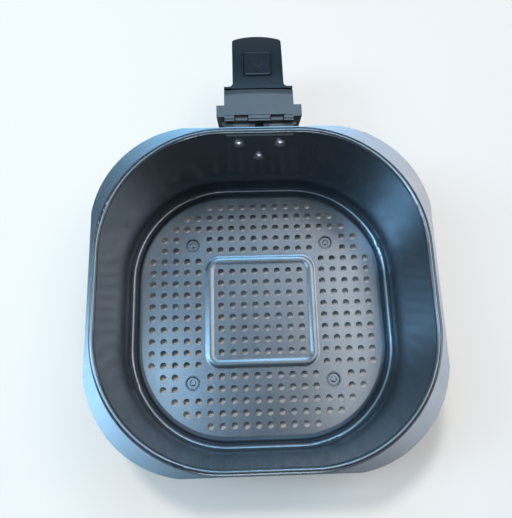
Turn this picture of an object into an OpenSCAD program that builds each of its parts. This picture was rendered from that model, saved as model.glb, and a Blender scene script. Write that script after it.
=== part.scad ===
// Removable air-fryer basket: a drawn, non-stick steel basket with a perforated floor,
// four riveted feet, and a moulded handle whose press button draws back two latch hooks.
// Millimetres. +Z is up and +Y points from the basket out along the handle.
// Z = 0 is the surface the feet stand on. The sizes below are measured from the middle of
// the basket, and place() then moves the whole part to the middle of its own footprint.

/* [Basket] */
// Width over the straight sides of the flange
basket_width = 230; // [190:1:280]
// Height from the standing surface to the top of the rim bead
basket_height = 107; // [88:1:130]
// Thickness of the drawn sheet
sheet = 0.8; // [0.6:0.1:1]
// Outward lean of the walls, in degrees
draft = 3.5; // [2:0.5:6]
// Corner radius of the wall's inner face at the mouth
wall_corner = 83; // [70:1:88]

/* [Rim] */
// Width of the flange at the middle of the left and right sides, with its bead
flange_side = 5.8; // [4.6:0.1:8]
// Width of the flange at the middle of the front and back, with its bead
flange_end = 4.6; // [4.6:0.1:8]
// Corner radius of the flange's outer edge
flange_corner = 71; // [60:1:80]
// How far the corner arcs swell past the straight sides, which trim them
flange_swell = 0.7; // [0:0.1:2.5]
// Crown radius of the rolled bead at the mouth
bead_crown = 2; // [1.3:0.1:2.2]
// Radius of the toe where the bead meets the flange
bead_toe = 0.6; // [0.5:0.1:0.8]

/* [Floor] */
// Height of the perforated floor's upper face
floor_height = 8; // [7.5:0.5:12]
// Depth of the valley pressed round the perforated floor
valley_depth = 4; // [3.4:0.1:5]
// Fillet radius between the valley and the wall
valley_fillet = 3; // [2:0.5:6]
// Pitch of the square grid of holes
hole_pitch = 9; // [7.5:0.5:11]
// Diameter of each hole
hole_dia = 5; // [4:0.25:6]
// Least distance from a hole's centre to the edge of the raised floor
hole_margin = 4.2; // [3.8:0.1:6]
// Hole rows from the middle to the raised square ridge
ridge_rows = 4; // [3:1:4]
// Corner radius of the raised square ridge, along its crown
ridge_corner = 8; // [6:0.5:14]

/* [Feet] */
// Radius of the pressed cup that holds each rivet
cup_radius = 4.6; // [4.2:0.1:5.5]
// Depth of the pressed cup
cup_depth = 1.5; // [1:0.1:2]
// Diameter of the moulded foot where it meets the floor
foot_dia = 15; // [12:0.5:18]
// Diameter of the rivet head
rivet_head_dia = 4.6; // [4.2:0.2:5.4]
// Diameter of the rivet shank
rivet_dia = 3; // [2.5:0.1:3.4]

/* [Handle mount] */
// Width of the mount block
mount_width = 49.6; // [44:0.4:60]
// Depth of the mount block, along Y
mount_depth = 22.4; // [20:0.2:28]
// Height of the mount block
mount_height = 46; // [40:1:52]
// How far the flat top of the mount sits below the top of the rim bead
mount_drop = 1; // [0:0.5:3]
// Gap between the flange's edge and the slot for the outer pan's wall
slot_setback = 3.2; // [1.6:0.2:4]
// Width of the slot that the outer pan's wall stands in
slot_width = 4.8; // [4.6:0.2:8]
// How far each guide wing stands out from the mount's side
wing_out = 5.6; // [4:0.2:9]
// Depth of each guide wing, along Y
wing_depth = 9; // [6:0.5:11]
// Wall thickness of the handle mouldings
wall = 2.5; // [2:0.1:3]

/* [Grip] */
// Width of the grip
grip_width = 37; // [34:1:44]
// Length of the grip past the mount
grip_length = 51.2; // [51:0.2:65]
// Height from the grip's underside to the flat top of the mount
grip_height = 32; // [30:0.5:36]
// Radius of the crown along the top of the grip
grip_crown = 180; // [160:5:260]
// Depth of the upper grip shell
cover_depth = 9; // [8:0.5:10]

/* [Button and latch] */
// Button size across the grip
button_width = 20; // [17:0.5:22]
// Button size along the grip
button_length = 22; // [16:0.5:23]
// Distance from the mount's back to the middle of the button
button_setback = 23.4; // [22:0.2:26]
// Travel of the button
button_travel = 4; // [3:0.5:4]
// Running gap round the button
button_gap = 0.3; // [0.2:0.05:0.4]
// Width of each latch hook
hook_width = 9; // [6:0.5:10]
// Distance between the middles of the two hooks
hook_spacing = 25.5; // [22:0.5:26]
// Diameter of the latch pivot pin
pin_dia = 3; // [2.5:0.1:4]
// Radial running clearance on the pivot pin
pin_clearance = 0.05; // [0.02:0.01:0.1]

/* [Fasteners] */
// Thread diameter of the three screws through the basket wall
wall_screw_dia = 4; // [3:0.5:5]
// Distance between the two upper wall screws
wall_screw_spacing = 30; // [24:1:32]
// Distance down the wall from the mouth to the upper wall screws
wall_screw_drop = 13.5; // [12:0.5:16]
// Distance down the wall from the upper screws to the lower one
wall_screw_rise = 21; // [16:0.5:22]
// Thread diameter of the screws inside the handle
case_screw_dia = 3; // [2.5:0.5:3]

/* [Hidden] */
$fn = 64;
eps = 0.01;
over = 1;
seat = 0.05;
far = 500;
function mil(x) = round(1000 * x) / 1000;

// Sloping joints between bends stand on a 3-4-5 triangle, so that neighbouring bends meet exactly
ease = atan(3 / 4);
run = 0.8;
rise = 0.6;
// The ridge's low slopes stand on a 7-24-25 triangle
gentle = atan(24 / 7);
lean = 0.28;
plumb = 0.96;

// Wall line: offset 0 is the wall's inner face where the rim bead starts
half_wall = basket_width / 2 - flange_side;
half_depth = half_wall + flange_end;
bead_x = mil(bead_crown * cos(draft));
bead_z = basket_height - bead_crown;
wall_z = bead_z + bead_crown * sin(draft);
flange_x = bead_x + (bead_crown + bead_toe) * run;
flange_z = bead_z + (bead_crown + bead_toe) * rise - bead_toe;

// Valley and shoulder round the raised floor
shoulder_radius = 7;
valley_radius = 1.5;
bends = shoulder_radius + valley_radius;
valley_z = floor_height - valley_depth;
fillet_z = valley_z + valley_fillet;
fillet_x = mil(-(wall_z - fillet_z + valley_fillet * sin(draft)) * tan(draft)
    - valley_fillet * cos(draft));
panel_x = fillet_x - bends * run - (valley_depth - bends * (1 - rise)) * rise / run;
panel_half = half_wall + panel_x;
panel_corner = wall_corner + panel_x;

// Raised square ridge, which takes the place of one ring of holes
ridge_half = (ridge_rows + 0.5) * hole_pitch;
ridge_crown = 8;
ridge_toe = 6;
ridge_rise = (ridge_crown + ridge_toe) * (1 - plumb);
ridge_side = (ridge_crown + ridge_toe) * lean;

// Hole grid
foot_at = (ridge_rows + 2) * hole_pitch;
hole_count = floor((panel_half - hole_margin) / hole_pitch + 0.5);
corner_at = panel_half - panel_corner;
function hole_at(i) = (i - hole_count + 0.5) * hole_pitch;
function past_corner(x) = max(abs(x) - corner_at, 0);
function is_hole(x, y) =
    norm([past_corner(x), past_corner(y)]) <= panel_corner - hole_margin
    && abs(max(abs(x), abs(y)) - ridge_half) > hole_pitch / 2
    && norm([abs(x) - foot_at, abs(y) - foot_at]) > hole_pitch;

// Feet and rivets
cup_floor = floor_height - cup_depth;
foot_top = cup_floor - sheet;
foot_ledge = 2.5;
foot_bore = 3.8;
washer_thick = 0.6;
rivet_head = 1.3;
rivet_tail = 0.9;

// Pad pressed into the wall, in the wall's own frame: X across, Y out, Z up the wall
mount_half = mount_width / 2;
pad_half = mount_half - 1;
pad_top = 0.8;
pad_bottom = wall_screw_drop + wall_screw_rise + 9.5;
pad_corner = 12;
pad_raise = 0.8;
pad_slope = 2;
plate_inset = sheet + 0.25;
plate_thick = 7;
plate_top = 6;
screw_spots = [
    [-wall_screw_spacing / 2, -wall_screw_drop],
    [wall_screw_spacing / 2, -wall_screw_drop],
    [0, -wall_screw_drop - wall_screw_rise]
];
wall_head_dia = 2 * wall_screw_dia;
wall_head = 0.65 * wall_screw_dia;
wall_screw_length = 7.6;
insert_dia = wall_screw_dia + 1.8;
insert_length = 5.6;

// Mount block
mount_top = basket_height - mount_drop;
mount_bottom = mount_top - mount_height;
slot_y = half_depth + slot_setback;
mount_y = slot_y + slot_width;
mount_back = mount_y + mount_depth;
lid_thick = 2.6;
thin_lid = 1.6;
lid_z = mount_top - lid_thick;
lid_front = mount_y - 2.6;
lid_notch = mount_y + 1.6;
strip_drop = 0.5;
strip_inset = 0.7;
lip_drop = 1.2;
lip_depth = 1.6;
lid_bow = 206;
lid_edge = mount_back - 4.7;
lid_round = 9.25;
heel = 6;
cheek = 4;
ledge_top = mount_top - 6;
ledge_deep = 5;
ledge_out = 2.4;
ledge_notch = 6;
rib_out = 1.8;
wing_y = mount_y + 0.2;
wing_drop = 26;
wing_taper = 3.5;

// Grip: a crowned top, falling away from the mount
grip_half = grip_width / 2;
grip_start = mount_back + 1;
grip_end = mount_back + grip_length;
grip_bottom = mount_top - grip_height;
grip_floor = grip_bottom + wall;
grip_slope = 5;
crown_y = mount_back - grip_crown * sin(grip_slope);
crown_z = mount_top - 1.6 - grip_crown * cos(grip_slope);
grip_round = 9;
end_bow = 46;
end_corner = 3.5;
flare = min(3, mount_half - grip_half - wall / 5);
flare_length = 1.6;
parting_gap = 0.1;
function crown_at(y, depth) = crown_z + sqrt(pow(grip_crown - depth, 2) - pow(y - crown_y, 2));

// Button, in its own frame on the crown
button_y = mount_back + button_setback;
button_z = crown_at(button_y, 0);
button_tilt = asin((button_y - crown_y) / grip_crown);
button_proud = 0.5;
button_slope = 1;
button_slope_angle = 22;
line_rise = 0.22;
button_deep = 8;
button_lip = 1.4;
button_lip_thick = 1.5;
button_lip_length = 10;
button_corner = 2.5;
button_wall = 1.8;
frame_margin = 1.8;
frame_depth = 0.7;
collar_wall = 1.5;
stem_dia = 5;
stem_length = button_travel + 8.4;
stem_tip = 1.5;
stem_y = button_y - stem_length * sin(button_tilt);
stem_z = button_z - stem_length * cos(button_tilt);

// Latch lever and its pin
pivot_y = mount_y + 7.2;
pivot_z = mount_top - 24;
hub_radius = 3.6;
lever_thick = 3;
lever_half = mount_half - wall - 0.3;
tail_half = 6.5;
tail_gap = 0.5;
tail_slope = atan((stem_z - tail_gap - lever_thick / 2 - pivot_z) / (stem_y - pivot_y));
tail_length = stem_y - pivot_y + 7;
throat_half = 8.5;
hook_in = hook_spacing / 2 - hook_width / 2;
hook_clear = 1.2;
hook_reach = 2;
hook_top = mount_top - thin_lid - hook_clear - pivot_z;
hook_tip = mount_y - hook_reach - pivot_y;
hook_thick = 4.4;
hook_play = 0.4;
arm_room = 5;

// Return spring between the grip's floor and the lever's tail
spring_y = pivot_y + 29;
spring_wire = 0.8;
spring_radius = 2.85;
spring_turns = 4;
spring_bottom = grip_floor + seat;
spring_top = pivot_z + (spring_y - spring_radius - pivot_y) * tan(tail_slope)
    - lever_thick / 2 / cos(tail_slope) - 0.1;

// Case screws: [x, y, height of the head's seat]
case_head_dia = 1.85 * case_screw_dia;
case_head = 0.7 * case_screw_dia;
sink_dia = case_head_dia + 0.6;
post_radius = sink_dia / 2 + 1.3;
boss_radius = 3.2;
lid_boss_z = mount_top - 10;
lid_screws = [
    [6.4 - mount_half, mount_back - 6, mount_top - 20],
    [mount_half - 6.4, mount_back - 6, mount_top - 20]
];
lid_screw_length = 15;
grip_screws = [
    [-12, mount_back + 6.1, mount_top - 18],
    [12, mount_back + 6.1, mount_top - 18],
    [0, grip_end - 8.8, mount_top - 26]
];
grip_screw_length = 12;

coating = [0.13, 0.15, 0.17];
black_plastic = [0.07, 0.08, 0.09];
steel = [0.75, 0.75, 0.76];
brass = [0.72, 0.58, 0.30];
silicone = [0.10, 0.10, 0.11];

// ---- Helpers ----

// Moves the part so that the middle of its footprint is at X = Y = 0
module place() {
    translate([0, (half_depth - grip_end) / 2, 0]) children();
}

module box_between(low, high) {
    translate(low) cube(high - low);
}

module mirror_x() {
    children();
    mirror([1, 0, 0]) children();
}

module wedge(from, to) {
    polygon([
        [0, 0],
        far * [cos(from), sin(from)],
        far * [cos(to), sin(to)]
    ]);
}

module sector(radius, from, to) {
    intersection() {
        circle(radius);
        wedge(from, to);
    }
}

module round_rect(width, length, radius) {
    square([width - 2 * radius, length], center = true);
    square([width, length - 2 * radius], center = true);
    for (x = [-1, 1], y = [-1, 1])
        translate([x * (width / 2 - radius), y * (length / 2 - radius)]) circle(radius);
}

// A side view drawn as (Y, Z), carried across the handle
module across(width) {
    translate([-width / 2, 0, 0]) rotate([90, 0, 90]) linear_extrude(width) children();
}

// Sweeps a profile drawn as (offset from the outline, height) round a square with round corners
module sweep_square(half, radius) {
    side = half - radius;
    for (quarter = [0:3])
        rotate(90 * quarter) {
            translate([half, side, 0]) rotate([90, 0, 0]) linear_extrude(2 * side) children();
            translate([side, side, 0])
                rotate_extrude(angle = 90) translate([radius, 0]) children();
        }
}

// ---- Sheet profiles: bends one sheet thick, given the radius of the upper face ----

module crest(x, z, radius, from, to) {
    translate([x, z])
        difference() {
            sector(radius, from, to);
            circle(radius - sheet);
        }
}

module hollow(x, z, radius, from, to) {
    translate([x, z])
        difference() {
            sector(radius + sheet, from, to);
            circle(radius);
        }
}

// Straight sheet between two points of its upper face
module strip(from, to, normal) {
    polygon([from, to, to - sheet * normal, from - sheet * normal]);
}

module wall_profile() {
    tuck = 0.15;
    shoulder = [panel_x, floor_height - shoulder_radius];
    valley = [fillet_x, valley_z + valley_radius];
    crest(shoulder.x, shoulder.y, shoulder_radius, ease, 90);
    strip(shoulder + shoulder_radius * [run, rise], valley - valley_radius * [run, rise], [run, rise]);
    hollow(valley.x, valley.y, valley_radius, 180 + ease, 270);
    hollow(fillet_x, fillet_z, valley_fillet, 270, 360 - draft);
    crest(bead_x, bead_z, bead_crown, ease, 180 - draft);
    hollow(flange_x, flange_z + bead_toe, bead_toe, 180 + ease, 270);
    // The straight wall is a hair thinner than its bends and tucks into them
    translate([fillet_x + valley_fillet * cos(draft), fillet_z - valley_fillet * sin(draft)])
        rotate(-draft)
            translate([eps, -tuck])
                square([
                    sheet - 2 * eps,
                    (wall_z - fillet_z + valley_fillet * sin(draft)) / cos(draft) + 2 * tuck
                ]);
}

module ridge_profile() {
    crest(0, floor_height + ridge_rise - ridge_crown, ridge_crown, gentle, 180 - gentle);
    for (side = [0, 1])
        mirror([side, 0])
            hollow(ridge_side, floor_height + ridge_toe, ridge_toe, 180 + gentle, 270);
}

// ---- Basket ----

module at_feet() {
    for (x = [-1, 1], y = [-1, 1])
        translate([x * foot_at, y * foot_at, 0]) children();
}

module ridge_outline(side) {
    round_rect(2 * (ridge_half + side), 2 * (ridge_half + side), ridge_corner + side);
}

module floor_plate() {
    difference() {
        round_rect(2 * panel_half, 2 * panel_half, panel_corner);
        difference() {
            ridge_outline(ridge_side);
            ridge_outline(-ridge_side);
        }
        for (i = [0:2 * hole_count - 1], j = [0:2 * hole_count - 1])
            if (is_hole(hole_at(i), hole_at(j)))
                translate([hole_at(i), hole_at(j)]) circle(d = hole_dia);
        for (x = [-1, 1], y = [-1, 1])
            translate([x * foot_at, y * foot_at]) circle(cup_radius + 1);
    }
}

// Pressed cup with a raised lip, and the rivet's hole in its middle
module cup_profile() {
    lip = 0.35;
    polygon([
        [rivet_dia / 2 + 0.1, cup_floor],
        [cup_radius - 0.5, cup_floor],
        [cup_radius, floor_height + lip - 0.2],
        [cup_radius + 0.25, floor_height + lip],
        [cup_radius + 0.6, floor_height + lip],
        [cup_radius + 1, floor_height],
        [cup_radius + 1, floor_height - sheet],
        [cup_radius + 0.5, floor_height - sheet],
        [cup_radius + 0.1, foot_top],
        [rivet_dia / 2 + 0.1, foot_top]
    ]);
}

module flange_ring() {
    mouth = half_wall + flange_x;
    difference() {
        intersection() {
            round_rect(basket_width + 2 * flange_swell, 2 * (half_depth + flange_swell), flange_corner);
            square([basket_width, 2 * half_depth], center = true);
        }
        round_rect(2 * mouth, 2 * mouth, wall_corner + flange_x);
    }
}

// The wall's own frame, on the handle side
module on_wall() {
    translate([0, half_wall, wall_z]) rotate([-draft, 0, 0]) children();
}

// A shape drawn in the wall's plane, from one depth outwards
module wall_slab(depth, thick) {
    translate([0, depth + thick, 0]) rotate([90, 0, 0]) linear_extrude(thick) children();
}

// Outline of the pad, with round lower corners, drawn inset from its edge
module pad_outline(inset, top) {
    side = pad_half - inset;
    base = inset - pad_bottom;
    radius = pad_corner - inset;
    translate([-side, base + radius]) square([2 * side, -top - base - radius]);
    translate([radius - side, base]) square([2 * (side - radius), radius]);
    translate([side - radius, base + radius]) sector(radius, 270, 360);
    translate([radius - side, base + radius]) sector(radius, 180, 270);
}

// The pad's sheet, whose upper edge slopes back into the wall
module pad_slab() {
    cut = pad_top - pad_slope * seat;
    reach = pad_raise + over;
    difference() {
        wall_slab(-pad_raise, pad_raise + sheet / 2) pad_outline(0, pad_top);
        across(mount_width) polygon([[seat, -cut], [-reach, -cut], [-reach, -pad_top - pad_slope * reach]]);
    }
}

module at_wall_screws(depth) {
    on_wall()
        for (spot = screw_spots)
            translate([spot.x, depth, spot.y]) rotate([-90, 0, 0]) children();
}

module basket_shell() {
    color(coating)
        place()
            difference() {
                union() {
                    translate([0, 0, floor_height - sheet]) linear_extrude(sheet) floor_plate();
                    sweep_square(ridge_half, ridge_corner) ridge_profile();
                    at_feet() rotate_extrude() cup_profile();
                    sweep_square(half_wall, wall_corner) wall_profile();
                    translate([0, 0, flange_z - sheet]) linear_extrude(sheet) flange_ring();
                    on_wall() pad_slab();
                }
                on_wall() wall_slab(0, over) pad_outline(sheet, pad_top + pad_slope * pad_raise);
                at_wall_screws(-pad_raise - over)
                    cylinder(h = 2 * over + pad_raise, d = wall_screw_dia + 0.4);
            }
}

// Moulded foot, held by a rivet that bears on a washer inside it
module foot(side_x, side_y) {
    bore = rivet_dia / 2 + seat;
    color(silicone)
        place()
            translate([side_x * foot_at, side_y * foot_at, 0])
                rotate_extrude()
                    polygon([
                        [bore, foot_ledge],
                        [foot_bore, foot_ledge],
                        [foot_bore, 0],
                        [foot_dia / 2 - 1.4, 0],
                        [foot_dia / 2 - 0.6, 0.8],
                        [foot_dia / 2, foot_top],
                        [bore, foot_top]
                    ]);
}

module foot_front_left() {
    foot(-1, -1);
}

module foot_front_right() {
    foot(1, -1);
}

module foot_rear_left() {
    foot(-1, 1);
}

module foot_rear_right() {
    foot(1, 1);
}

module foot_rivets() {
    tail_z = foot_ledge - washer_thick;
    head = rivet_head_dia / 2;
    shank = rivet_dia / 2;
    color(coating)
        place()
            at_feet()
                rotate_extrude()
                    polygon([
                        [0, tail_z - rivet_tail],
                        [shank + 0.5, tail_z - rivet_tail],
                        [shank + 0.8, tail_z - 0.3],
                        [shank + 0.8, tail_z],
                        [shank, tail_z],
                        [shank, cup_floor],
                        [head, cup_floor],
                        [head, cup_floor + rivet_head - 0.5],
                        [head - 0.4, cup_floor + rivet_head - 0.1],
                        [head - 0.8, cup_floor + rivet_head],
                        [0, cup_floor + rivet_head]
                    ]);
}

module foot_washers() {
    color(steel)
        place()
            at_feet()
                translate([0, 0, foot_ledge - washer_thick])
                    difference() {
                        cylinder(h = washer_thick, r = foot_bore - 0.2);
                        translate([0, 0, -over])
                            cylinder(h = washer_thick + 2 * over, d = rivet_dia + 2 * seat);
                    }
}

// ---- Screws ----

// A pan-head screw along +Z, its head below Z = 0, with a cross recess
module pan_screw(dia, length, head_dia, head) {
    slot_wide = dia * 0.28;
    slot_long = dia * 1.1;
    slot_deep = head * 0.55;
    sag = head * 0.6;
    dome = (pow(head_dia / 2, 2) + pow(sag, 2)) / (2 * sag);
    difference() {
        union() {
            cylinder(h = length - 0.4, d = dia);
            translate([0, 0, length - 0.4]) cylinder(h = 0.4, d1 = dia, d2 = dia - 0.8);
            intersection() {
                translate([0, 0, -head]) cylinder(h = head, d = head_dia);
                translate([0, 0, dome - head]) sphere(dome);
            }
        }
        for (turn = [0, 90])
            rotate(turn)
                translate([-slot_long / 2, -slot_wide / 2, -head - over])
                    cube([slot_long, slot_wide, slot_deep + over]);
    }
}

module case_screws(spots, length) {
    color(steel)
        place()
            for (spot = spots)
                translate(spot)
                    pan_screw(case_screw_dia - 2 * seat, length, case_head_dia, case_head);
}

module wall_screws() {
    color(steel)
        place()
            at_wall_screws(-pad_raise)
                pan_screw(wall_screw_dia - 2 * seat, wall_screw_length, wall_head_dia, wall_head);
}

module mount_cover_screws() {
    case_screws(lid_screws, lid_screw_length);
}

module grip_cover_screws() {
    case_screws(grip_screws, grip_screw_length);
}

module threaded_inserts() {
    color(brass)
        place()
            at_wall_screws(0)
                difference() {
                    cylinder(h = insert_length, d = insert_dia);
                    translate([0, 0, -over])
                        cylinder(h = insert_length + 2 * over, d = wall_screw_dia);
                }
}

// ---- Handle mouldings ----

// Plan of the grip from a root line outwards: flared at the mount, bowed at its far end
module grip_plan(root, inset) {
    half = grip_half - inset;
    tip = grip_end - inset;
    radius = end_corner - inset * 0.8;
    bow = end_bow - inset;
    shoulder_y = tip - bow + sqrt(pow(bow - radius, 2) - pow(half - radius, 2));
    translate([-half, root]) square([2 * half, shoulder_y - root]);
    intersection() {
        translate([radius - half, root]) square([2 * (half - radius), grip_length + 9]);
        translate([0, tip - bow]) circle(bow);
    }
    for (x = [-1, 1])
        translate([x * (half - radius), shoulder_y]) circle(radius);
}

module grip_flare(root) {
    end = grip_start + flare_length + flare;
    difference() {
        translate([-mount_half, root]) square([mount_width, end - root]);
        for (x = [-1, 1]) {
            translate([x * (grip_half + flare), end]) circle(flare);
            translate([x * (grip_half + flare + 10), end]) square([20, 2 * flare], center = true);
        }
    }
}

module grip_block(root, bottom) {
    translate([0, 0, bottom])
        linear_extrude(mount_top - bottom) {
            grip_plan(root, 0);
            grip_flare(root);
        }
}

module grip_hollow(bottom) {
    translate([0, 0, bottom]) linear_extrude(mount_top - bottom) grip_plan(grip_start + wall, wall);
}

// Everything under the crown, from one depth down
module under_crown(depth) {
    across(mount_width + 4) translate([crown_y, crown_z]) circle(grip_crown - depth, $fn = 360);
}

// End view of the lower grip, with round lower edges
module grip_section() {
    edge = grip_half - grip_round + seat;
    translate([-mount_half - over, grip_bottom + grip_round])
        square([mount_width + 2 * over, grip_height]);
    translate([-edge, grip_bottom]) square([2 * edge, grip_round]);
    translate([edge, grip_bottom + grip_round]) sector(grip_round, 270, 360);
    translate([-edge, grip_bottom + grip_round]) sector(grip_round, 180, 270);
}

module block_side() {
    translate([mount_y, mount_bottom + heel]) square([mount_depth, lid_z - mount_bottom - heel]);
    translate([mount_y, mount_bottom]) square([mount_depth - heel, heel]);
    translate([mount_back - heel, mount_bottom + heel]) sector(heel, 270, 360);
}

// Fillet between the block's back and the grip's underside
module throat_fillet() {
    difference() {
        translate([mount_back - over, grip_bottom - heel]) square([heel + over, heel + over]);
        translate([mount_back + heel, grip_bottom - heel]) circle(heel);
    }
}

module screw_posts(spots, base) {
    for (spot = spots)
        translate([spot.x, spot.y, base])
            cylinder(h = spot.z + wall - base, r = post_radius);
}

// Clearance bore and deep sink for a case screw
module screw_sinks(spots) {
    for (spot = spots)
        translate(spot) {
            translate([0, 0, -far]) cylinder(h = far, d = sink_dia);
            translate([0, 0, -over]) cylinder(h = 20, d = case_screw_dia + 0.3);
        }
}

module handle_body() {
    color(black_plastic)
        place()
            difference() {
                union() {
                    difference() {
                        union() {
                            on_wall() wall_slab(0, plate_thick) pad_outline(plate_inset, plate_top);
                            mirror_x() {
                                // Cheek that joins the plate to the block
                                box_between([mount_half - cheek, slot_y - 4, mount_bottom],
                                    [mount_half, mount_y + over, ledge_top]);
                                // Ledge under the flange
                                box_between([ledge_notch / 2, slot_y - 4, ledge_top - ledge_deep],
                                    [mount_half, slot_y + ledge_out, ledge_top]);
                                // Rib that guides the mount in the outer pan's notch
                                box_between([mount_half - over, slot_y + 1, mount_bottom + 4],
                                    [mount_half + rib_out, mount_y - 0.5, ledge_top]);
                            }
                            across(mount_width) block_side();
                            across(grip_width - 2 * grip_round) throat_fillet();
                            intersection() {
                                grip_block(grip_start - 2, grip_bottom);
                                under_crown(cover_depth);
                                translate([0, grip_end + over, 0])
                                    rotate([90, 0, 0])
                                        linear_extrude(grip_length + 10) grip_section();
                            }
                        }
                        // Hollow of the block, open at the top
                        box_between([wall - mount_half, mount_y + wall, mount_bottom + wall],
                            [mount_half - wall, mount_back - wall, mount_top]);
                        grip_hollow(grip_floor);
                        // Throat for the lever's tail
                        box_between([-throat_half, mount_back - wall - over, pivot_z - 4],
                            [throat_half, grip_start + wall + over, pivot_z + 8]);
                        // Windows for the two hooks
                        mirror_x()
                            box_between([hook_in - hook_play, mount_y - over, pivot_z + hook_top - 7],
                                [hook_in + hook_width + hook_play, mount_y + wall + over, mount_top]);
                    }
                    screw_posts(lid_screws, mount_bottom + wall / 2);
                    screw_posts(grip_screws, grip_bottom + wall / 2);
                    // Peg inside the return spring
                    translate([0, spring_y, grip_floor - over]) cylinder(h = 2.5 + over, r = 1.8);
                }
                screw_sinks(lid_screws);
                screw_sinks(grip_screws);
                at_wall_screws(-over) {
                    cylinder(h = over + insert_length + 0.1, d = insert_dia + 2 * seat);
                    cylinder(h = 2 * over + plate_thick, d = wall_screw_dia + 0.4);
                }
                translate([0, pivot_y, pivot_z])
                    rotate([0, 90, 0])
                        cylinder(h = mount_width + 2 * over, r = pin_dia / 2 + 0.02, center = true);
            }
}

// Guide wing, drawn as (X, Z): its outer face leans in towards the bottom
module wing_shape() {
    polygon([
        [mount_half - 2, lid_z],
        [mount_half + 0.1, lid_z],
        [mount_half + 0.1, mount_top - wing_drop],
        [mount_half + wing_out - wing_drop * tan(wing_taper), mount_top - wing_drop],
        [mount_half + wing_out, mount_top],
        [mount_half - 2, mount_top]
    ]);
}

module mount_cover() {
    color(black_plastic)
        place()
            difference() {
                union() {
                    // Top plate, whose back edge is bowed and rolls down to the grip
                    intersection() {
                        translate([0, lid_edge - lid_bow, mount_top - lid_round])
                            rotate_extrude() {
                                translate([lid_bow - 60, 0]) square([60, lid_round]);
                                translate([lid_bow, 0]) sector(lid_round, 0, 90);
                            }
                        box_between([-mount_half, lid_front, lid_z],
                            [mount_half, mount_back, mount_top + over]);
                    }
                    mirror_x()
                        translate([0, wing_y + wing_depth, 0])
                            rotate([90, 0, 0]) linear_extrude(wing_depth) wing_shape();
                    for (spot = lid_screws)
                        translate([spot.x, spot.y, lid_boss_z])
                            cylinder(h = lid_z + over - lid_boss_z, r = boss_radius);
                }
                // Notches that show the hooks, and the thin lid over their arms
                mirror_x() {
                    box_between([hook_in - hook_play, lid_front - over, lid_z - over],
                        [hook_in + hook_width + hook_play, lid_notch, mount_top + over]);
                    box_between([hook_in - hook_play, lid_front - over, lid_z - over],
                        [hook_in + hook_width + hook_play, pivot_y + arm_room, mount_top - thin_lid]);
                }
                // Sunk strip along the front edge, and the lip before it
                translate([0, lid_front, mount_top - strip_drop])
                    linear_extrude(over)
                        round_rect(mount_width - 2 * strip_inset, 2 * (lid_notch - lid_front), 1.5);
                box_between([-mount_half - over, lid_front - over, mount_top - lip_drop],
                    [mount_half + over, lid_front + lip_depth, mount_top + over]);
                for (spot = lid_screws)
                    translate([spot.x, spot.y, lid_boss_z - over])
                        cylinder(h = over + lid_screw_length - 9.5, d = case_screw_dia);
            }
}

module in_button_frame() {
    translate([0, button_y, button_z]) rotate([-button_tilt, 0, 0]) children();
}

module button_shape(grow) {
    round_rect(button_width + 2 * grow, button_length + 2 * grow, button_corner + grow);
}

module grip_cover() {
    collar_low = button_lip_thick - button_deep + 0.1;
    color(black_plastic)
        place()
            difference() {
                union() {
                    difference() {
                        intersection() {
                            grip_block(grip_start, grip_bottom);
                            under_crown(0);
                        }
                        under_crown(cover_depth - parting_gap);
                        intersection() {
                            grip_hollow(grip_floor);
                            under_crown(wall);
                        }
                    }
                    // Collar that guides the button
                    in_button_frame()
                        translate([0, 0, collar_low])
                            linear_extrude(-1.2 - collar_low) button_shape(button_gap + collar_wall);
                    // Screw bosses
                    for (spot = grip_screws)
                        translate([spot.x, spot.y, crown_at(spot.y, cover_depth) + 1])
                            cylinder(h = cover_depth - 3, r = boss_radius);
                }
                in_button_frame() {
                    translate([0, 0, -2 * button_deep])
                        linear_extrude(3 * button_deep) button_shape(button_gap);
                    translate([0, 0, -frame_depth]) linear_extrude(button_deep) button_shape(frame_margin);
                }
                for (spot = grip_screws)
                    translate(spot) cylinder(h = grip_screw_length + 0.4, d = case_screw_dia);
            }
}

// Low ridge with two sloping faces, between two points
module ridge_line(from, to, width) {
    run_to = to - from;
    translate(from)
        rotate([0, 0, atan2(run_to.y, run_to.x)])
            rotate([90, 0, 90])
                linear_extrude(norm(run_to))
                    polygon([[-width / 2, 0], [0, width * line_rise], [width / 2, 0]]);
}

// Chevron that points to the basket, with a tick over each end
module chevron() {
    tip = [0, -4.4];
    for (x = [-1, 1]) {
        ridge_line(tip + [-0.3 * x, -0.3], [3.7 * x, -0.6], 1.3);
        ridge_line([3 * x, 1.2], [3 * x, 2.8], 1.1);
    }
}

// Cutter that slopes the button's upper edge on one side
module edge_slope(half) {
    translate([0, half - button_slope, button_proud])
        rotate([-button_slope_angle, 0, 0])
            translate([-button_length, 0, 0]) cube([2 * button_length, button_slope * 2, 1]);
}

module release_button() {
    color(black_plastic)
        place()
            in_button_frame() {
                difference() {
                    union() {
                        difference() {
                            translate([0, 0, -button_deep])
                                linear_extrude(button_deep + button_proud) button_shape(0);
                            for (turn = [0, 180]) {
                                rotate([0, 0, turn]) edge_slope(button_length / 2);
                                rotate([0, 0, turn + 90]) edge_slope(button_width / 2);
                            }
                        }
                        // Lips that stop the button at the collar
                        mirror_x()
                            box_between([button_width / 2 - over, -button_lip_length / 2, -button_deep],
                                [button_width / 2 + button_lip, button_lip_length / 2,
                                    button_lip_thick - button_deep]);
                        translate([0, 0, button_proud - eps]) chevron();
                    }
                    translate([0, 0, -button_deep - over])
                        linear_extrude(button_deep + over + button_proud - 2) button_shape(-button_wall);
                }
                translate([0, 0, -stem_length]) {
                    cylinder(h = stem_tip + eps, d1 = 2, d2 = stem_dia);
                    translate([0, 0, stem_tip]) cylinder(h = stem_length - stem_tip - 1, d = stem_dia);
                }
            }
}

// ---- Latch ----

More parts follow.
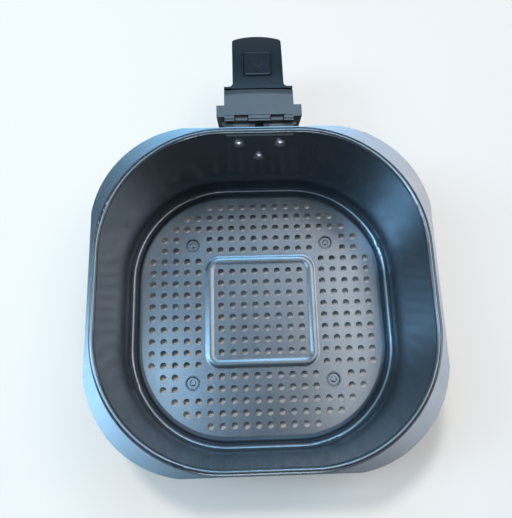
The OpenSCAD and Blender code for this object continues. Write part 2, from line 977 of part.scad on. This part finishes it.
// Side view of one hook arm about the pivot, drawn as (Y, Z)
module hook_side() {
    arm = hook_thick / 2;
    polygon([
        [arm, 0],
        [arm, hook_top - 2],
        [arm - 1.5, hook_top],
        [hook_tip + 0.6, hook_top],
        [hook_tip, hook_top - 0.6],
        [hook_tip + 0.8, hook_top - hook_thick],
        [-arm - 1.5, hook_top - hook_thick],
        [-arm, hook_top - hook_thick - 1.5],
        [-arm, 0]
    ]);
}

module latch_lever() {
    color(black_plastic)
        place()
            translate([0, pivot_y, pivot_z])
                difference() {
                    union() {
                        rotate([0, 90, 0]) cylinder(h = 2 * lever_half, r = hub_radius, center = true);
                        rotate([tail_slope, 0, 0])
                            box_between([-tail_half, 0, -lever_thick / 2],
                                [tail_half, tail_length, lever_thick / 2]);
                        mirror_x()
                            translate([hook_in + hook_width / 2, 0, 0]) across(hook_width) hook_side();
                    }
                    rotate([0, 90, 0])
                        cylinder(h = mount_width, r = pin_dia / 2 + pin_clearance, center = true);
                }
}

module latch_pin() {
    color(steel)
        place()
            translate([0, pivot_y, pivot_z])
                rotate([0, 90, 0]) cylinder(h = mount_width - 1, d = pin_dia, center = true);
}

// Closed tube of round wire wound into a helix
module coil(radius, wire, height, turns) {
    per_turn = 24;
    sides = 8;
    steps = per_turn * turns;
    lift = height - wire;
    points = [
        for (i = [0:steps], k = [0:sides - 1])
            let (
                out = radius + wire / 2 * cos(360 * k / sides),
                turn = 360 * i / per_turn
            )
            [
                out * cos(turn),
                out * sin(turn),
                wire / 2 + lift * i / steps + wire / 2 * sin(360 * k / sides)
            ]
    ];
    quads = [
        for (i = [0:steps - 1], k = [0:sides - 1])
            let (next = (k + 1) % sides)
            [
                i * sides + k,
                (i + 1) * sides + k,
                (i + 1) * sides + next,
                i * sides + next
            ]
    ];
    first_cap = [for (k = [0:sides - 1]) k];
    last_cap = [for (k = [sides - 1:-1:0]) steps * sides + k];
    polyhedron(points, concat([first_cap, last_cap], quads));
}

module return_spring() {
    color(steel)
        place()
            translate([0, spring_y, spring_bottom])
                coil(spring_radius, spring_wire, spring_top - spring_bottom, spring_turns);
}

// ---- Nodes ----

basket_shell();
foot_front_left();
foot_front_right();
foot_rear_left();
foot_rear_right();
foot_rivets();
foot_washers();
wall_screws();
threaded_inserts();
handle_body();
mount_cover();
grip_cover();
release_button();
latch_lever();
latch_pin();
return_spring();
mount_cover_screws();
grip_cover_screws();
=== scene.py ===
import bpy
from mathutils import Matrix, Vector

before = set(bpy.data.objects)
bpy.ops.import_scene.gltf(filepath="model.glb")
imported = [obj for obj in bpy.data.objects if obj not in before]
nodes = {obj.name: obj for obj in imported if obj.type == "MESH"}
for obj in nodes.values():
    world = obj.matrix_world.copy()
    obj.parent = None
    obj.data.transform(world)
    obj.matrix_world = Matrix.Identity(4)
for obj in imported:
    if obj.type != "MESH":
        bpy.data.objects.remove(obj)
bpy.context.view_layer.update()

# ---- Camera: the photo's own viewpoint ----

PHOTO_WIDTH, PHOTO_HEIGHT = 512, 518
FOCAL_PX = 670.0
PRINCIPAL_PX = (260.4, 190.2)
SENSOR_WIDTH_MM = 36.0
NEAR_CLIP = 0.01
CAMERA_AT = Vector((-0.0154, -0.1231, 0.5388))
CAMERA_RIGHT = Vector((0.99926, -0.03088, 0.02283))
CAMERA_UP = Vector((0.02177, 0.94524, 0.32564))


def add_camera():
    data = bpy.data.cameras.new("photo_camera")
    data.sensor_fit = "HORIZONTAL"
    data.sensor_width = SENSOR_WIDTH_MM
    data.lens = SENSOR_WIDTH_MM * FOCAL_PX / PHOTO_WIDTH
    data.shift_x = (PHOTO_WIDTH / 2 - PRINCIPAL_PX[0]) / PHOTO_WIDTH
    data.shift_y = (PRINCIPAL_PX[1] - PHOTO_HEIGHT / 2) / PHOTO_WIDTH
    data.clip_start = NEAR_CLIP
    camera = bpy.data.objects.new("photo_camera", data)
    right = CAMERA_RIGHT.normalized()
    up = (CAMERA_UP - CAMERA_UP.dot(right) * right).normalized()
    turn = Matrix((right, up, right.cross(up))).transposed()
    camera.matrix_world = Matrix.Translation(CAMERA_AT) @ turn.to_4x4()
    bpy.context.scene.collection.objects.link(camera)
    bpy.context.scene.camera = camera


# ---- Materials: linear colours, noise scales per metre, bump depths and radii in metres ----

BEVEL_SAMPLES = 6


class NodeTree:
    """Short calls for the nodes that a material and the world share."""

    def __init__(self, tree):
        self.tree = tree

    def add(self, kind):
        return self.tree.nodes.new(kind)

    def link(self, source, target):
        self.tree.links.new(source, target)

    def math(self, operation, first, second):
        node = self.add("ShaderNodeMath")
        node.operation = operation
        self.link(first, node.inputs[0])
        self.link(second, node.inputs[1])
        return node.outputs["Value"]

    def remap(self, value, low, high, source=(0.0, 1.0)):
        node = self.add("ShaderNodeMapRange")
        node.inputs["From Min"].default_value, node.inputs["From Max"].default_value = source
        node.inputs["To Min"].default_value = low
        node.inputs["To Max"].default_value = high
        self.link(value, node.inputs["Value"])
        return node.outputs["Result"]

    def seen(self):
        """1 for camera and mirror rays, 0 for the rays that light the object."""
        rays = self.add("ShaderNodeLightPath").outputs
        return self.math("MAXIMUM", rays["Is Camera Ray"], rays["Is Glossy Ray"])


class Recipe(NodeTree):
    """A Principled material, with short calls for the nodes that shape its surface."""

    def __init__(self, name, color, roughness, **inputs):
        self.material = bpy.data.materials.new(name)
        self.material.use_nodes = True
        super().__init__(self.material.node_tree)
        self.shader = self.tree.nodes["Principled BSDF"]
        self.shader.inputs["Base Color"].default_value = (*color, 1)
        self.shader.inputs["Roughness"].default_value = roughness
        for key, value in inputs.items():
            self.shader.inputs[key].default_value = value
        self.coords = self.add("ShaderNodeTexCoord").outputs["Object"]

    def noise(self, scale, detail=2):
        node = self.add("ShaderNodeTexNoise")
        node.inputs["Scale"].default_value = scale
        node.inputs["Detail"].default_value = detail
        self.link(self.coords, node.inputs["Vector"])
        return node.outputs["Fac"]

    def ramp(self, value, start, end):
        """Colour ramp between two stops, each a position and a colour."""
        node = self.add("ShaderNodeValToRGB")
        for element, (position, color) in zip(node.color_ramp.elements, (start, end)):
            element.position = position
            element.color = (*color, 1)
        self.link(value, node.inputs["Fac"])
        return node.outputs["Color"]

    def bump(self, height, strength, depth, below=None):
        """Bump from a height, on top of the normal below it."""
        node = self.add("ShaderNodeBump")
        node.inputs["Strength"].default_value = strength
        node.inputs["Distance"].default_value = depth
        self.link(height, node.inputs["Height"])
        if below is not None:
            self.link(below, node.inputs["Normal"])
        return node.outputs["Normal"]

    def round_edges(self, radius):
        node = self.add("ShaderNodeBevel")
        node.samples = BEVEL_SAMPLES
        node.inputs["Radius"].default_value = radius
        return node.outputs["Normal"]

    def set(self, socket, value):
        self.link(value, self.shader.inputs[socket])


def coating_material():
    """Satin non-stick coating on steel, with faint clouding and orange peel."""
    r = Recipe("nonstick_coating", (0.17, 0.20, 0.235), 0.26, Metallic=0.9)
    dark = (0.25, (0.150, 0.180, 0.211))
    pale = (0.75, (0.195, 0.228, 0.262))
    r.set("Base Color", r.ramp(r.noise(scale=22, detail=5), dark, pale))
    r.set("Roughness", r.remap(r.noise(scale=70), low=0.24, high=0.28))
    r.set("Normal", r.bump(r.noise(scale=900), strength=0.015, depth=0.0002))
    return r.material


def plastic_material(name, color, roughness, **inputs):
    """Black moulding with a fine spark-eroded grain and slightly rounded edges."""
    r = Recipe(name, color, roughness, **inputs)
    patches = r.noise(scale=240, detail=3)
    r.set("Roughness", r.remap(patches, low=roughness - 0.05, high=roughness + 0.07))
    edges = r.round_edges(radius=0.0004)
    r.set("Normal", r.bump(r.noise(scale=2600), strength=0.22, depth=0.00015, below=edges))
    return r.material


def metal_material(name, color, roughness, patches, low, high):
    """Bare metal whose roughness wanders between low and high in small patches."""
    r = Recipe(name, color, roughness, Metallic=1.0)
    r.set("Roughness", r.remap(r.noise(scale=patches), low, high))
    return r.material


def silicone_material():
    """Matt moulded silicone."""
    r = Recipe("silicone", (0.030, 0.030, 0.033), 0.62)
    r.set("Normal", r.bump(r.noise(scale=1800), strength=0.15, depth=0.0001))
    return r.material


def paint_nodes():
    coating = coating_material()
    grip = plastic_material("grip_plastic", (0.006, 0.011, 0.017), 0.36, IOR=1.52)
    mount = plastic_material("mount_plastic", (0.017, 0.024, 0.033), 0.46, IOR=1.94)
    steel = metal_material("stainless", (0.74, 0.74, 0.75), 0.32, patches=900, low=0.26, high=0.40)
    brass = metal_material("brass", (0.70, 0.53, 0.25), 0.30, patches=700, low=0.24, high=0.36)
    silicone = silicone_material()
    finishes = {
        "basket_shell": coating,
        "foot_rivets": coating,
        "grip_cover": grip,
        "release_button": grip,
        "handle_body": mount,
        "mount_cover": mount,
        "latch_lever": mount,
        "threaded_inserts": brass,
    }
    for row in ("front", "rear"):
        for side in ("left", "right"):
            finishes[f"foot_{row}_{side}"] = silicone
    for name, node in nodes.items():
        node.data.materials.clear()
        node.data.materials.append(finishes.get(name, steel))


# ---- Setting: floor, horizon and lamps ----

FLOOR_SIZE = 60
FLOOR_COLOR = (0.62, 0.59, 0.56)
FLOOR_ROUGHNESS = 0.8
# Glow added for seen rays, and the distances from the basket over which each part comes in; the
# nearer part is held back under the basket, which paints a shadow there
BASKET_MIDDLE = (0.0, -0.0408, 0.0)
FLOOR_LIFT = 0.22
PAINTED_SHADOW_FADE = (0.085, 0.15)
FAR_FLOOR_LIFT = 0.60
FAR_LIFT_REACH = (0.8, 2.4)

WORLD_COLOR = (0.92, 0.95, 0.98)
WORLD_FILL = 0.04
# Glow at the horizon for seen rays, and the upward slopes between which it fades out
HORIZON_GLOW = 0.85
HORIZON_FADE = (0.10, 0.25)

# Rectangular softboxes, all aimed at one point in the basket
LAMP_AIM = Vector((0, 0, 0.05))
# Hung over the object: name, (X, Y), (width, depth), colour, power in watts
CEILING_Z = 1.40
CEILING = (
    ("far_left", (-0.92, -0.05), (0.32, 1.10), (0.30, 0.70, 1.0), 7.6),
    ("left", (-0.66, -0.05), (0.28, 1.10), (0.60, 0.82, 1.0), 6.1),
    ("far", (0.0, 0.78), (0.70, 0.26), (0.36, 0.72, 1.0), 5.4),
    ("right", (0.45, 0.50), (0.60, 0.34), (1.0, 0.86, 0.80), 2.4),
    ("near_right", (0.50, 0.05), (0.50, 0.60), (1.0, 0.95, 0.92), 2.9),
    ("middle", (0.0, 0.35), (0.40, 0.40), (0.85, 0.92, 1.0), 0.5),
)
# Standing low round the object: name, (X, Y, Z), (width, height), colour, power in watts
LOW = (
    ("low_left", (-1.10, 0.0, 0.40), (0.5, 0.3), (1.0, 0.95, 0.88), 1.3),
    ("low_right", (1.10, 0.0, 0.40), (0.5, 0.3), (1.0, 0.92, 0.84), 1.1),
    ("low_front", (0.0, -1.20, 0.42), (0.40, 0.20), (0.9, 0.95, 1.0), 2.2),
    ("low_back", (0.0, 1.20, 0.50), (0.5, 0.3), (0.40, 0.72, 1.0), 0.35),
)
# Small and bright, for crisp shadows under the holes; mirror rays don't see it
KEY = ("key", (-0.20, 0.30, 1.55), (0.14, 0.14), (1.0, 0.97, 0.93), 11.5)


def floor_material():
    """Pale matt floor. Camera and mirror rays see it lifted, except under the basket, where the
    missing lift is a painted shadow.
    """
    r = Recipe("pale_floor", FLOOR_COLOR, FLOOR_ROUGHNESS)
    apart = r.add("ShaderNodeVectorMath")
    apart.operation = "DISTANCE"
    r.link(r.coords, apart.inputs[0])
    apart.inputs[1].default_value = BASKET_MIDDLE
    # Painted shadow under the basket: no lift within the first distance, fading in by the second
    near = r.remap(apart.outputs["Value"], 0.0, FLOOR_LIFT, PAINTED_SHADOW_FADE)
    away = r.remap(apart.outputs["Value"], 0.0, FAR_FLOOR_LIFT, FAR_LIFT_REACH)
    glow = r.add("ShaderNodeEmission")
    r.link(r.math("MULTIPLY", r.seen(), r.math("ADD", near, away)), glow.inputs["Strength"])
    both = r.add("ShaderNodeAddShader")
    r.link(r.shader.outputs["BSDF"], both.inputs[0])
    r.link(glow.outputs["Emission"], both.inputs[1])
    r.link(both.outputs["Shader"], r.tree.nodes["Material Output"].inputs["Surface"])
    return r.material


def add_floor():
    bpy.ops.mesh.primitive_plane_add(size=FLOOR_SIZE)
    floor = bpy.context.object
    floor.name = "floor"
    floor.data.materials.append(floor_material())


def add_world():
    """Faint fill. Camera and mirror rays see a pale band round the horizon."""
    world = bpy.data.worlds.new("studio")
    bpy.context.scene.world = world
    world.use_nodes = True
    sky = NodeTree(world.node_tree)
    back = sky.tree.nodes["Background"]
    back.inputs["Color"].default_value = (*WORLD_COLOR, 1)
    split = sky.add("ShaderNodeSeparateXYZ")
    sky.link(sky.add("ShaderNodeTexCoord").outputs["Generated"], split.inputs[0])
    band = sky.remap(split.outputs["Z"], HORIZON_GLOW, 0.0, HORIZON_FADE)
    fill = sky.remap(sky.math("MULTIPLY", sky.seen(), band), WORLD_FILL, 1.0)
    sky.link(fill, back.inputs["Strength"])


def add_softbox(name, place, size, color, power):
    data = bpy.data.lights.new(name, "AREA")
    data.shape = "RECTANGLE"
    data.size, data.size_y = size
    data.color = color
    data.energy = power
    lamp = bpy.data.objects.new(name, data)
    lamp.location = place
    lamp.rotation_euler = (LAMP_AIM - Vector(place)).to_track_quat("-Z", "Y").to_euler()
    bpy.context.scene.collection.objects.link(lamp)
    return lamp


def add_lights():
    for name, (x, y), size, color, power in CEILING:
        add_softbox(name, (x, y, CEILING_Z), size, color, power)
    for lamp in LOW:
        add_softbox(*lamp)
    add_softbox(*KEY).visible_glossy = False


bpy.context.scene.view_settings.view_transform = "Standard"
add_camera()
paint_nodes()
add_floor()
add_world()
add_lights()
